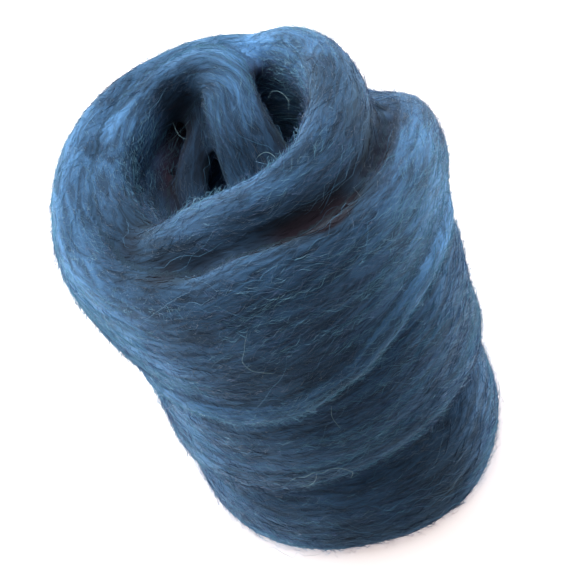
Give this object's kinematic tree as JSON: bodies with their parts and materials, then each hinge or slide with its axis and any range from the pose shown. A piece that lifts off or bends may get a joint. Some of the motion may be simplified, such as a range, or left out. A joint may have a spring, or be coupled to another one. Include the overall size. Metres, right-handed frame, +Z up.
{
  "type": "wool roving roll",
  "caption": "Roll of dyed wool roving standing on end, one thick combed strand wound on itself with an open swirl at the top.",
  "frame": {"origin": "on the surface that the roll stands on, in the flat spot's middle", "axes": "+Z up along the roll, from the end it stands on to the open swirl; -Y towards the side where the widest band's rolled edge climbs"},
  "size_m": [0.0787, 0.0753, 0.0968],
  "materials": {
    "dyed_wool": "matte carded wool, denim blue, with fine loose fibres"
  },
  "bodies": {
    "root": {"roving_roll": "dyed_wool"}
  },
  "joints": []
}
